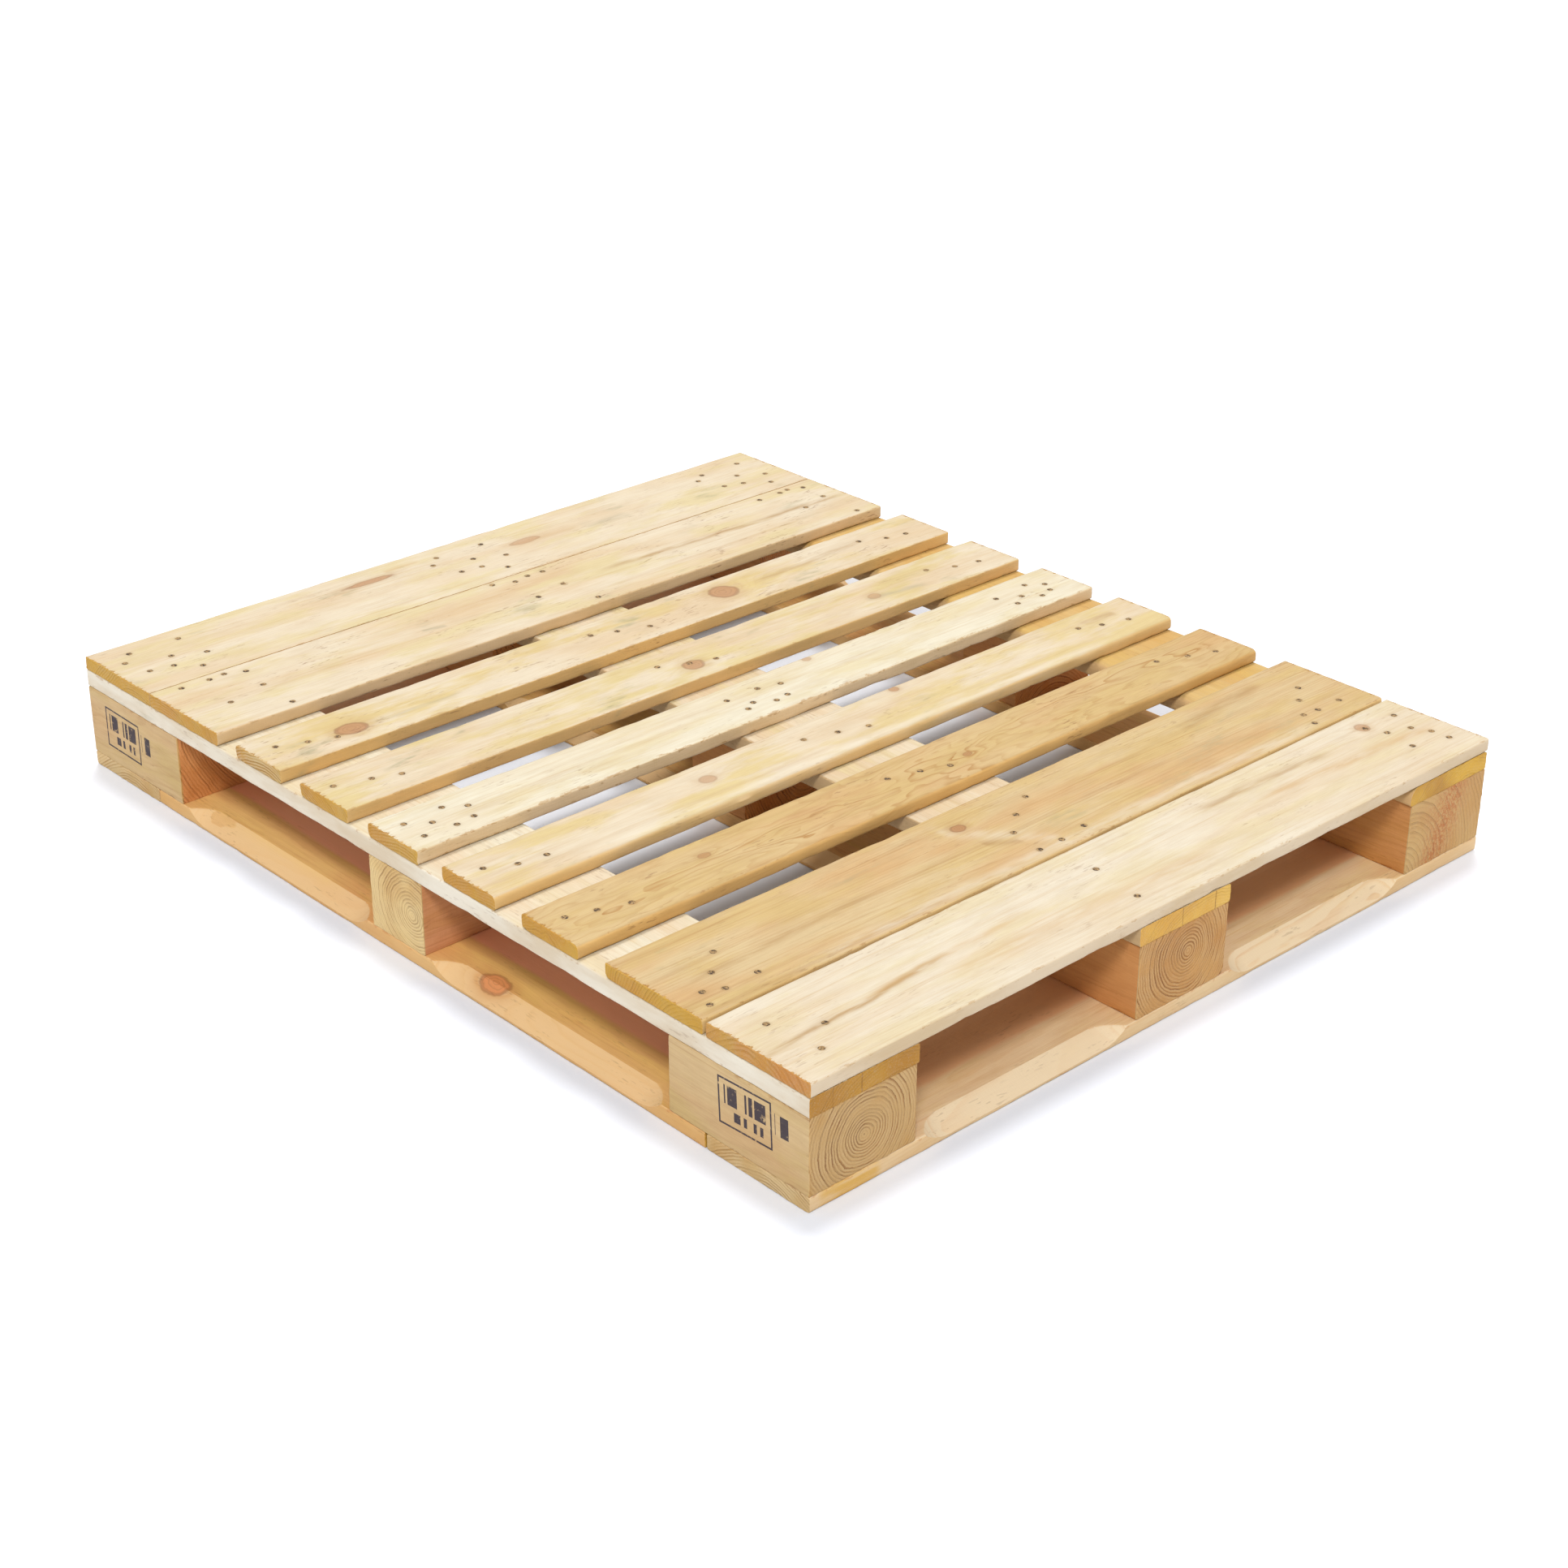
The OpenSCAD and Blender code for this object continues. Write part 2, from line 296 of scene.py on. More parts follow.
def dented(p, nails, open_side, face_w):
    """Presses the face down round each nail."""
    for nail_u, nail_v in nails:
        gap = np.maximum(np.hypot(p[:, 0] - nail_u, p[:, 1] - nail_v) - HEAD_R - POCKET_GAP, 0)
        on_face = np.abs(p[:, 2] - face_w) < 1.5 * MM
        p[:, 2] -= open_side * DENT_DEPTH * np.exp(-(gap / DENT_WIDTH) ** 2) * on_face
    return p


def chamfer_limit(u, v, size, spans, side):
    """The height that the chamfers on the edge at side (-1 or 1) leave, over each span (middle, length)."""
    slope = math.atan2(CHAMFER_DOWN, CHAMFER_IN)
    depth = CHAMFER_IN * CHAMFER_DOWN / math.hypot(CHAMFER_IN, CHAMFER_DOWN)
    run_out = math.sqrt(2 * CUTTER_R * depth - depth ** 2)
    limit = np.full(len(u), 1.0)
    for middle, length in spans:
        past = np.clip(np.abs(u - middle) - length / 2 + run_out, 0, CUTTER_R)
        lift = CUTTER_R - np.sqrt(CUTTER_R ** 2 - past ** 2)
        plane = size[2] / 2 - (side * v - size[1] / 2 + CHAMFER_IN) * math.tan(slope)
        limit = np.minimum(limit, plane + lift / math.cos(slope))
    return limit


def nail_places(node, z_side):
    """The heads (x, y, radius) in a CAD nail node, on its upper (1) or lower (-1) side."""
    lo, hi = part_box(node)
    level = hi.z if z_side > 0 else lo.z
    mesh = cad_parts[node].data
    heads = []
    for face in mesh.polygons:
        corners = [mesh.vertices[n].co for n in face.vertices]
        if max(abs(c.z - level) for c in corners) < 0.02 * MM:
            rim = {(round(c.x, 6), round(c.y, 6)) for c in corners}
            for head in [h for h in heads if h & rim]:
                rim |= head
                heads.remove(head)
            heads.append(rim)
    found = []
    for head in heads:
        xs, ys = [p[0] for p in head], [p[1] for p in head]
        found.append(((min(xs) + max(xs)) / 2, (min(ys) + max(ys)) / 2, (max(xs) - min(xs)) / 2))
    return found


TOP_NAILS = [n for s in SIDES for kind in ("deck", "short") for n in nail_places(f"{kind}_nails_{s}", 1)]
BASE_NAILS = [n for s in SIDES for n in nail_places(f"bottom_nails_{s}", -1)]
HEADS = {1: TOP_NAILS, 0: [], -1: BASE_NAILS}
HEAD_R = TOP_NAILS[0][2]
HOLE_R = HEAD_R + POCKET_GAP


def centre_of(node):
    lo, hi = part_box(node)
    return tuple((lo + hi) / 2)


def size_along(node, grain):
    """A CAD node's length along the grain, its width and its height."""
    lo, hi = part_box(node)
    x, y, z = hi - lo
    return (x, y, z) if grain == "x" else (y, x, z)


def nails_in(node, grain, nail_side):
    """The nail heads on a piece's upper (1) or lower (-1) side, as (u, v) from its middle."""
    lo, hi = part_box(node)
    centre = (lo + hi) / 2
    inside = [n for n in HEADS[nail_side] if lo.x < n[0] < hi.x and lo.y < n[1] < hi.y]
    flat = [(x - centre.x, y - centre.y) for x, y, _ in inside]
    return flat if grain == "x" else [(v, u) for u, v in flat]


def sawn_shape(size, nails, seed, radii, nail_side, bow, chamfers):
    """The points (u, v, w) and the faces of a sawn piece, from its middle."""
    us, ws = spaced(size[0], ALONG_STEP), spaced(size[2], ACROSS_STEP)
    vs = spaced(size[1], ACROSS_STEP, edge_squeeze(nails, size[1]))
    if chamfers:
        us, vs = chamfer_lines(us, vs, size, chamfers)
    points, faces, loop = box_lattice(us, vs, ws, nail_side)
    if nail_side:
        face_w = nail_side * size[2] / 2
        points, more = nailed_face(us, vs, face_w, loop, points, nails, nail_side)
        faces += more
    shaped = ragged(rounded(points, size, radii, seed), size, seed, bow)
    if nails:
        shaped = dented(shaped, nails, nail_side, face_w)
        floors = slice(-RING_POINTS * len(nails), None)
        shaped[floors] = points[floors]
    for side, spans in chamfers.items():
        limit = chamfer_limit(shaped[:, 0], shaped[:, 1], size, spans, side)
        shaped[:, 2] = np.minimum(shaped[:, 2], limit)
    return shaped, faces


def store_stain(mesh, points, heads):
    """Marks on each point how close it is to a nail head, for the dark rims."""
    stain = np.zeros(len(points))
    for x, y, _ in heads:
        away = np.hypot(points[:, 0] - x, points[:, 1] - y)
        stain = np.maximum(stain, np.exp(-(np.maximum(away - HEAD_R, 0) / STAIN_WIDTH) ** 1.5))
    mesh.attributes.new("stain", "FLOAT", "POINT").data.foreach_set("value", stain.astype(np.float32))


def placed(name, data):
    """A new object in the scene."""
    made = bpy.data.objects.new(name, data)
    bpy.context.scene.collection.objects.link(made)
    return made


def wood_piece(node, grain, seed, radii, nail_side=0, bow=0.0, chamfers=None):
    """A sawn piece of wood in place of a CAD node. u runs along the grain, v across it and w up.
    nail_side is 1 or -1 where the upper or the lower face shows nail heads. chamfers maps an edge,
    -1 or 1, to its spans along u."""
    size, nails = size_along(node, grain), nails_in(node, grain, nail_side)
    points, faces = sawn_shape(size, nails, seed, radii, nail_side, bow, chamfers or {})
    if grain == "y":
        points = points[:, [1, 0, 2]]
        faces = [f[::-1] for f in faces]
    points = points + np.array(centre_of(node))
    mesh = bpy.data.meshes.new(node + "_wood")
    mesh.from_pydata(points.tolist(), [], faces)
    mesh.validate()
    store_stain(mesh, points, HEADS[nail_side])
    mesh.shade_smooth()
    mesh.set_sharp_from_angle(angle=SHARP_ANGLE)
    piece = placed(node + "_wood", mesh)
    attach(piece, "root")
    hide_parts(node)
    return piece


def kept_apart(lines, more, gap):
    """All the lines in order, without those that are no further than gap from the one before."""
    lines = np.unique(np.round(np.concatenate([lines, more]), 5))
    return lines[np.concatenate([[True], np.diff(lines) > gap])]


def chamfer_lines(us, vs, size, chamfers):
    """Adds mesh lines along a chamfer's inner edge and closer lines where its ends run out."""
    extra = []
    for spans in chamfers.values():
        for middle, length in spans:
            for end in (-1, 1):
                near = middle + end * length / 2
                extra += list(near - end * np.arange(-2, 22) * RUN_OUT_STEP)
    shares = np.linspace(0.2, 1, 13)
    lines = [side * (size[1] / 2 - CHAMFER_IN * share) for side in chamfers for share in shares]
    return kept_apart(us, extra, 0.6 * MM), kept_apart(vs, lines, 0.5 * MM)


# ---- shader building blocks

class Shade:
    """Short calls that add nodes to one material. An input is a number, a colour or another node's output."""

    def __init__(self, name):
        self.material = bpy.data.materials.new(name)
        self.material.use_nodes = True
        self.tree = self.material.node_tree
        self.tree.nodes.clear()

    def node(self, kind, inputs=(), **settings):
        made = self.tree.nodes.new(kind)
        for key, value in settings.items():
            setattr(made, key, value)
        for place, value in enumerate(inputs):
            if value is not None:
                self.feed(made.inputs[place], value)
        return made

    def feed(self, socket, value):
        if isinstance(value, bpy.types.NodeSocket):
            self.tree.links.new(value, socket)
        else:
            socket.default_value = value

    def math(self, operation, *inputs):
        return self.node("ShaderNodeMath", inputs, operation=operation).outputs[0]

    def times(self, a, b):
        return self.math("MULTIPLY", a, b)

    def times_plus(self, a, b, more):
        return self.math("MULTIPLY_ADD", a, b, more)

    def minus(self, a, b):
        return self.math("SUBTRACT", a, b)

    def abs(self, a):
        return self.math("ABSOLUTE", a)

    def bell(self, a):
        return self.math("EXPONENT", self.times(self.times(a, a), -1.0))

    def place(self):
        return self.node("ShaderNodeTexCoord").outputs["Object"]

    def bump(self, height, strength, distance):
        made = self.node("ShaderNodeBump", (strength, distance))
        self.feed(made.inputs["Height"], height)
        return made.outputs[0]

    def mix(self, factor, a, b, blend="MIX"):
        made = self.tree.nodes.new("ShaderNodeMix")
        made.data_type, made.blend_type = "RGBA", blend
        for socket, value in ((made.inputs[0], factor), (made.inputs[6], a), (made.inputs[7], b)):
            self.feed(socket, value)
        return made.outputs[2]

    def band(self, value, low, high, out_low=0.0, out_high=1.0):
        """A smooth step from out_low at low to out_high at high."""
        made = self.node("ShaderNodeMapRange", (value, low, high, out_low, out_high),
                         interpolation_type="SMOOTHSTEP")
        return made.outputs[0]

    def noise(self, vector, scale, detail, roughness=0.5):
        made = self.tree.nodes.new("ShaderNodeTexNoise")
        self.feed(made.inputs["Vector"], vector)
        for key, value in (("Scale", scale), ("Detail", detail), ("Roughness", roughness)):
            made.inputs[key].default_value = value
        return made.outputs[0]

    def drawn_out(self, vector, scale, offset, detail, roughness=0.5):
        """Noise with its own scale along each of u, v and w."""
        return self.noise(self.stretched(vector, scale, offset), 1, detail, roughness)

    def stretched(self, vector, scale, offset):
        made = self.node("ShaderNodeMapping", (vector,))
        made.inputs["Scale"].default_value = scale
        made.inputs["Location"].default_value = offset
        return made.outputs[0]

    def split(self, vector):
        return self.node("ShaderNodeSeparateXYZ", (vector,)).outputs

    def ramp(self, value, stops):
        made = self.node("ShaderNodeValToRGB", (value,))
        points = made.color_ramp.elements
        while len(points) < len(stops):
            points.new(0.5)
        for point, (place, grey) in zip(points, stops):
            point.position = place
            point.color = (grey, grey, grey, 1)
        return made.outputs[0]


# ---- wood

SIDE_COLOURS = ("side", "end", "end_warm", "end_late", "bevel")
FACE_COLOURS = ("light", "warm", "yellow", "late", "streak", "knot", "rim")


def look_like(base, lit, **own):
    """A look with its own values in place of the base's. Its colours are given as they appear: those of
    the sides and ends on upright faces, and the others where as much light as lit falls."""
    for key, colour in own.items():
        if colour and key in SIDE_COLOURS + FACE_COLOURS:
            own[key] = srgb(*colour, SIDE if key in SIDE_COLOURS else lit)
    return {**base, **own}


# A look has colours, the strengths of its layers, and lengths in metres. pith is (v, w) of the heart of
# the tree, and lean how far it drifts along u. A knot is (u, v, half length, half width, strength), and
# a mark (u, v, u, v, half width in mm, strength, colour).
# heart (side, edge, colour) is painted shade: a redder band on a base board inside the openings, for the
# shade there
PINE = look_like(
    {}, TOP, light=(251, 236, 208), warm=(243, 217, 178), yellow=(244, 226, 174), late=(222, 184, 128),
    streak=(206, 162, 106), side=(224, 184, 132), side_tone=0.8, end=(202, 155, 56),
    end_warm=(198, 142, 50), end_late=(150, 102, 36), knot=(206, 152, 106), rim=(140, 88, 52),
    ring_gap=3.4 * MM, rings=0.16, end_rings=0.3, streaks=0.22, patches=0.85, flecks=0.25, smudge=0.0,
    saw=0.25, pith=(0.02, -0.09), lean=(0.02, 0.012), wander=22 * MM, waver=5 * MM, swirl=(1.6, 9), jag=0.0,
    threads=0.28, bites=4.5 * MM, tears=0.45, tear_width=4 * MM, relief=1.0, knots=(), marks=(), splits=(),
    heart=None, bevel=None, scar=None, shade=None)
HONEY = look_like(
    PINE, TOP, light=(240, 211, 158), warm=(232, 188, 130), yellow=(233, 202, 136), late=(200, 150, 86),
    streak=(186, 132, 74), knot=(196, 140, 90), rings=0.3)
UPRIGHT = look_like(
    PINE, SIDE, light=(218, 188, 138), warm=(210, 172, 122), yellow=(208, 178, 118), late=(176, 132, 80),
    streak=(160, 112, 66), side_tone=0.0, end=(212, 170, 106), end_warm=(196, 146, 80),
    end_late=(146, 90, 40), rings=0.25, end_rings=0.85, ring_gap=3.6 * MM, saw=0.6, jag=1.5 * MM,
    relief=2.0, bites=2 * MM)
LOW = look_like(
    PINE, ON_RUNNER, light=(222, 178, 114), warm=(216, 162, 102), yellow=(214, 174, 100),
    late=(190, 130, 72), streak=(180, 118, 66), side=(226, 186, 126), knot=(206, 132, 80), rings=0.3,
    side_tone=0.6, bevel=(238, 200, 148))


def grain_coordinates(s, grain, centre):
    """(u, v, w) from the middle of a piece, as a vector and as three numbers."""
    place = s.place()
    x, y, z = s.split(s.stretched(place, (1, 1, 1), tuple(-c for c in centre)))
    u, v = (x, y) if grain == "x" else (y, x)
    vector = s.node("ShaderNodeCombineXYZ", (u, v, z)).outputs[0]
    return vector, u, v, z


def knot_fields(s, vector, u, v, knots):
    """For each knot a distance that is 1 at its rim. Returns those and the grain's swing round them."""
    fields, swing = [], None
    if knots:
        wobble = s.times(s.minus(s.noise(vector, 60, 2), 0.5), 0.6)
    for knot_u, knot_v, half_u, half_v, _ in knots:
        du = s.math("DIVIDE", s.minus(u, knot_u), half_u)
        dv = s.math("DIVIDE", s.minus(v, knot_v), half_v)
        du, dv = s.times(du, du), s.times(dv, dv)
        fields.append(s.math("ADD", s.math("SQRT", s.math("ADD", du, dv)), wobble))
        spread = s.times_plus(du, -0.12, s.times(dv, -0.35))
        push = s.times(s.math("EXPONENT", spread), half_v * 1.1)
        swing = push if swing is None else s.math("ADD", swing, push)
    return fields, swing


def ring_field(s, vector, u, v, w, look, swing, seed):
    """Distance from the pith, wandering with the grain, in ring widths."""
    along, across = look.swirl
    slow = s.drawn_out(vector, (along, across, across), (seed, 0, 0), 2)
    quick = s.drawn_out(vector, (9, 40, 40), (0, seed, 0), 3)
    side = s.math("ADD", s.times_plus(u, -look.lean[0], v), -look.pith[0])
    up = s.math("ADD", s.times_plus(u, -look.lean[1], w), -look.pith[1])
    far = s.math("SQRT", s.times_plus(side, side, s.times(up, up)))
    far = s.times_plus(slow, look.wander, far)
    far = s.times_plus(quick, look.waver, far)
    if look.jag:
        far = s.times_plus(s.noise(vector, 380, 2, 0.6), look.jag, far)
    if swing is not None:
        far = s.math("ADD", far, swing)
    return s.math("DIVIDE", far, look.ring_gap)


def add_knots(s, colour, fields, look):
    """Each knot: rings of its own, a darker broken rim and a soft halo where the grain turns."""
    for far, knot in zip(fields, look.knots):
        strength = knot[4]
        turns = s.math("FRACT", s.times(far, 3.3))
        own_rings = s.ramp(turns, [(0, 0), (0.6, 0.2), (0.85, 1), (1, 0)])
        heart = s.mix(s.times(own_rings, 0.35), look.knot, look.rim)
        colour = s.mix(s.band(far, 2.3, 0.9, 0.0, 0.45 * strength), colour, look.streak)
        colour = s.mix(s.band(far, 1.15, 0.8, 0.0, strength), colour, heart)
        rim = s.times(s.band(far, 0.78, 0.98), s.band(far, 1.2, 1.0))
        colour = s.mix(s.times(rim, 0.5 * strength), colour, look.rim)
    return colour


def add_marks(s, colour, vector, u, v, look, seed):
    """Long stains and pitch streaks that follow the grain. Each mark runs from (u, v) to (u, v), with a
    half width, a strength and a colour."""
    if not look.marks:
        return colour
    sway = s.minus(s.drawn_out(vector, (14, 3, 3), (seed, 1, 2), 2), 0.5)
    broken = s.band(s.drawn_out(vector, (22, 150, 150), (3, seed, 7), 3), 0.3, 0.6, 0.25, 1.0)
    for u0, v0, u1, v1, half, strength, tone in look.marks:
        along = s.math("DIVIDE", s.minus(u, u0), u1 - u0)
        middle = s.times_plus(along, v1 - v0, v0)
        off = s.minus(s.times_plus(sway, 14 * MM, v), middle)
        body = s.bell(s.math("DIVIDE", off, half * MM))
        ends = s.times(s.band(along, 0.0, 0.14), s.band(along, 1.0, 0.86))
        mask = s.times(s.times(body, ends), s.times(broken, strength))
        colour = s.mix(mask, colour, tone)
    return colour


def add_weather(s, colour, vector, look, seed):
    """Saw-torn flecks and faint grey-green smudges from handling."""
    torn = s.drawn_out(vector, (70, 430, 430), (seed, 4, 4), 2)
    where = s.drawn_out(vector, (11, 24, 24), (seed, 9, 1), 2)
    flecks = s.times(s.band(torn, 0.6, 0.68), s.band(where, 0.5, 0.64))
    colour = s.mix(s.times(flecks, look.flecks), colour, look.rim)
    if look.smudge:
        cloud = s.drawn_out(vector, (9, 18, 18), (seed, 2, 5), 4, 0.65)
        streaky = s.drawn_out(vector, (30, 160, 160), (4, seed, 1), 2)
        mask = s.times(s.band(cloud, 0.57, 0.72), s.band(streaky, 0.38, 0.62))
        colour = s.mix(s.times(mask, look.smudge), colour, srgb(176, 170, 132, TOP))
    return colour


def add_painted_opening_shade(s, colour, v, w, patch, look):
    """Painted shade: a redder band on the upper face of a base board, past an edge towards the inside of the
    openings, that stands in for the shade cast there. It is given as side, edge, colour.
    """
    towards, edge, tone = look.heart
    past = s.times(s.minus(v, edge), towards)
    past = s.times_plus(s.minus(patch, 0.5), 16 * MM, past)
    above = s.band(w, -6 * MM, 0.0)
    return s.mix(s.times(above, s.band(past, -3 * MM, 5 * MM, 0.0, 0.9)), colour, tone)


def end_face(s, vector, v, w, late, grit, look, seed):
    """The sawn end of the grain: golden, with its rings, a warm cloud and pale broken fibres."""
    cloud = s.drawn_out(vector, (6, 14, 14), (seed, 5, 3), 3)
    worn = s.band(s.drawn_out(vector, (1, 34, 34), (3, seed, 5), 3, 0.6), 0.36, 0.6, 0.1, 1.0)
    colour = s.mix(s.band(cloud, 0.4, 0.66), look.end, look.end_warm)
    shown = s.times(late, s.times(worn, look.end_rings))
    colour = s.mix(shown, colour, look.end_late)
    early = s.times(s.band(late, 0.3, 0.05), s.times(worn, 0.3 * look.end_rings))
    colour = s.mix(early, colour, look.light)
    for at_v, half in look.splits:
        off = s.times_plus(s.minus(cloud, 0.5), 5 * MM, s.minus(v, at_v))
        colour = s.mix(s.band(s.abs(off), half, 0.2 * half, 0.0, 0.75), colour, look.end_late)
    colour = s.mix(s.band(grit, 0.5, 0.85, 0.0, 0.3), colour, look.light)
    if look.scar:
        at_v, at_w, half, tone = look.scar
        slant = s.times_plus(s.minus(w, at_w), -0.35, s.minus(v, at_v))
        off = s.math("DIVIDE", s.times_plus(s.minus(cloud, 0.5), 30 * MM, slant), half)
        body = s.bell(off)
        fuzz = s.band(s.noise(vector, 300, 3, 0.75), 0.4, 0.6, 0.25, 1.0)
        colour = s.mix(s.times(body, fuzz), colour, tone)
    return colour


def add_fuzz_and_arris_shade(s, colour, u, v, w, size, flat, look):
    """Torn fibres: bites of the end's colour along the sawn ends of the broad faces, and uneven dark tears
    along the long arrises, partly torn wood and partly painted shade in the ragged arris."""
    place = s.node("ShaderNodeCombineXYZ", (s.times(u, 0.3), v, 0.0)).outputs[0]
    torn = s.noise(place, 420, 3, 0.7)
    reach = s.band(s.noise(place, 150, 3, 0.7), 0.42, 0.72, 0.4 * MM, look.bites)
    from_end = s.minus(size[0] / 2, s.abs(u))
    from_side = s.minus(size[1] / 2, s.abs(v))
    bite = s.band(s.minus(from_end, reach), 0.7 * MM, -0.3 * MM, 0.0, 0.85)
    bitten = s.mix(s.band(torn, 0.3, 0.6), look.end, look.end_late)
    colour = s.mix(s.times(bite, flat), colour, bitten)
    near_end = s.times(s.band(from_end, 9 * MM, 1 * MM, 0.0, 0.5), s.band(torn, 0.5, 0.66))
    colour = s.mix(s.times(near_end, flat), colour, look.streak)
    from_face = s.minus(size[2] / 2, s.abs(w))
    from_arris = s.math("ADD", s.math("MAXIMUM", from_side, 0.0), s.math("MAXIMUM", from_face, 0.0))
    long_place = s.node("ShaderNodeCombineXYZ", (s.times(u, 0.35), v, w)).outputs[0]
    deep = s.band(s.noise(long_place, 190, 4, 0.7), 0.48, 0.72, 0.0, look.tear_width)
    # Partly painted shade: the dark tears along the arrises stand for torn fibres and the shade among them
    tear_and_shade = s.band(s.minus(from_arris, deep), 0.8 * MM, 0.0, 0.0, look.tears)
    return s.mix(s.times(tear_and_shade, s.band(deep, 0.0, 1.2 * MM)), colour, look.streak)


def late_wood(s, rings):
    """The darker late part of each ring, fainter in some years than in others."""
    late = s.ramp(s.math("FRACT", rings), [(0.0, 0.05), (0.5, 0.12), (0.82, 0.9), (0.93, 1.0), (1.0, 0.05)])
    year = s.math("FLOOR", rings)
    each = s.node("ShaderNodeTexWhiteNoise", (None, year), noise_dimensions="1D").outputs[0]
    return s.times(late, s.band(each, 0.0, 1.0, 0.25, 1.0))


def wood_noises(s, vector, seed):
    """The noises that the layers share, from the finest fibres to the broadest patches."""
    return dict(
        fibre=s.drawn_out(vector, (26, 900, 900), (seed, 0, 0), 3, 0.6),
        thread=s.drawn_out(vector, (5, 330, 330), (0, seed, seed), 2),
        soft=s.drawn_out(vector, (7, 120, 120), (0, seed, 0), 3, 0.55),
        streak=s.drawn_out(vector, (1.5, 85, 85), (seed, seed, 0), 3, 0.6),
        mottle=s.drawn_out(vector, (22, 60, 60), (seed, 7, 1), 5, 0.65),
        second=s.drawn_out(vector, (7, 26, 26), (seed, 0, seed), 4, 0.6),
        patch=s.drawn_out(vector, (4, 15, 15), (0, 0, seed), 4, 0.55))


def plain_wood(s, noises, late, look):
    """The wood before knots and stains: two tones of patches, then streaks, rings and fibres."""
    soft = noises["soft"]
    colour = s.mix(s.band(noises["patch"], 0.38, 0.66, 0.0, look.patches), look.light, look.warm)
    colour = s.mix(s.band(noises["second"], 0.44, 0.66, 0.0, look.patches), colour, look.yellow)
    colour = s.mix(s.band(noises["streak"], 0.55, 0.76, 0.0, look.streaks), colour, look.streak)
    shown = s.band(soft, 0.25, 0.75, look.rings * 0.4, look.rings * 1.6)
    colour = s.mix(s.times(late, shown), colour, look.late)
    colour = s.mix(s.band(noises["fibre"], 0.25, 0.75, 0.14, 0.0), colour, look.streak, "MULTIPLY")
    colour = s.mix(s.band(noises["thread"], 0.58, 0.72, 0.0, look.threads), colour, look.late)
    colour = s.mix(s.band(soft, 0.2, 0.6, 0.14, 0.0), colour, look.late)
    return s.mix(s.band(noises["mottle"], 0.3, 0.62, 0.09, 0.0), colour, look.late, "MULTIPLY")


def add_bevel(s, colour, level, late, look):
    """The fresh cut of a chamfer, known by how far its face looks up or down."""
    cut = s.times(s.band(level, 0.96, 0.9), s.band(level, 0.6, 0.75))
    return s.mix(s.times(cut, s.band(late, 0.0, 0.8, 0.85, 0.4)), colour, look.bevel)


def wood_relief(s, vector, noises, late, grit, end, look, seed):
    """Bump from fibres, rings and saw marks, and a rougher one on the ends of the grain."""
    saw = s.drawn_out(vector, (420, 14, 14), (seed, 0, 0), 2)
    height = s.times_plus(noises["fibre"], 0.35, s.times(late, 0.25))
    height = s.times_plus(noises["soft"], 0.3, height)
    height = s.times_plus(saw, look.saw, height)
    rough_end = s.times_plus(late, 1.4 * look.relief, s.times(grit, 1.4))
    return s.bump(s.times_plus(rough_end, end, height), 1.0, 0.35 * MM)


def wood(node, grain, look, seed, stamp=None):
    """Sawn softwood: rings about a pith that cut each face as real ones do, fibres, patches, streaks, knots,
    golden end grain, sides in a warmer colour that is partly their own and partly painted shade, painted
    shade inside the openings, and dark rims round the nails."""
    s, look = Shade(node + "_grain"), SimpleNamespace(**look)
    vector, u, v, w = grain_coordinates(s, grain, centre_of(node))
    fields, swing = knot_fields(s, vector, u, v, look.knots)
    late = late_wood(s, ring_field(s, vector, u, v, w, look, swing, seed))
    noises = wood_noises(s, vector, seed)
    soft = noises["soft"]
    normal = s.split(s.node("ShaderNodeNewGeometry").outputs["Normal"])
    along, across = (0, 1) if grain == "x" else (1, 0)
    end = s.band(s.abs(normal[along]), 0.5, 0.8)
    side = s.band(s.abs(normal[across]), 0.5, 0.9)
    level = s.abs(normal[2])

    colour = plain_wood(s, noises, late, look)
    # Painted shade: a redder band on a base board's upper face inside the openings
    if look.heart:
        colour = add_painted_opening_shade(s, colour, v, w, noises["patch"], look)
    if look.bevel:
        colour = add_bevel(s, colour, level, late, look)
    # Partly painted shade: the long sides take a warmer colour, partly the sawn sides' own and partly the
    # warm cast of sides in shade
    side_colour_and_shade = s.mix(s.band(noises["second"], 0.35, 0.7, 0.0, 0.5), look.side, look.late)
    colour = s.mix(s.times(side, look.side_tone), colour, side_colour_and_shade)
    colour = add_marks(s, colour, vector, u, v, look, seed)
    colour = add_knots(s, colour, fields, look)
    colour = add_weather(s, colour, vector, look, seed)
    colour = add_fuzz_and_arris_shade(s, colour, u, v, w, size_along(node, grain), s.band(level, 0.6, 0.9), look)
    grit = s.noise(vector, 700, 3, 0.6)
    colour = s.mix(end, colour, end_face(s, vector, v, w, late, grit, look, seed))
    colour = add_nail_stain(s, colour, soft)
    # Painted shade: a darker, redder tint multiplied onto the faces inside the openings
    if look.shade:
        colour = s.mix(s.minus(1.0, outermost(s)), colour, look.shade, "MULTIPLY")
    if stamp:
        colour = s.mix(stamp_ink(s, stamp), colour, srgb(40, 34, 50))
    relief = wood_relief(s, vector, noises, late, grit, end, look, seed)
    finish_surface(s, colour, s.band(soft, 0.2, 0.8, 0.58, 0.76), relief, 0.28)
    return s.material


def add_nail_stain(s, colour, soft):
    stain = s.node("ShaderNodeAttribute", attribute_name="stain").outputs["Fac"]
    patchy = s.times(stain, s.band(soft, 0.15, 0.7, 0.4, 1.0))
    return s.mix(s.times(patchy, 0.26), colour, srgb(138, 102, 64, TOP))


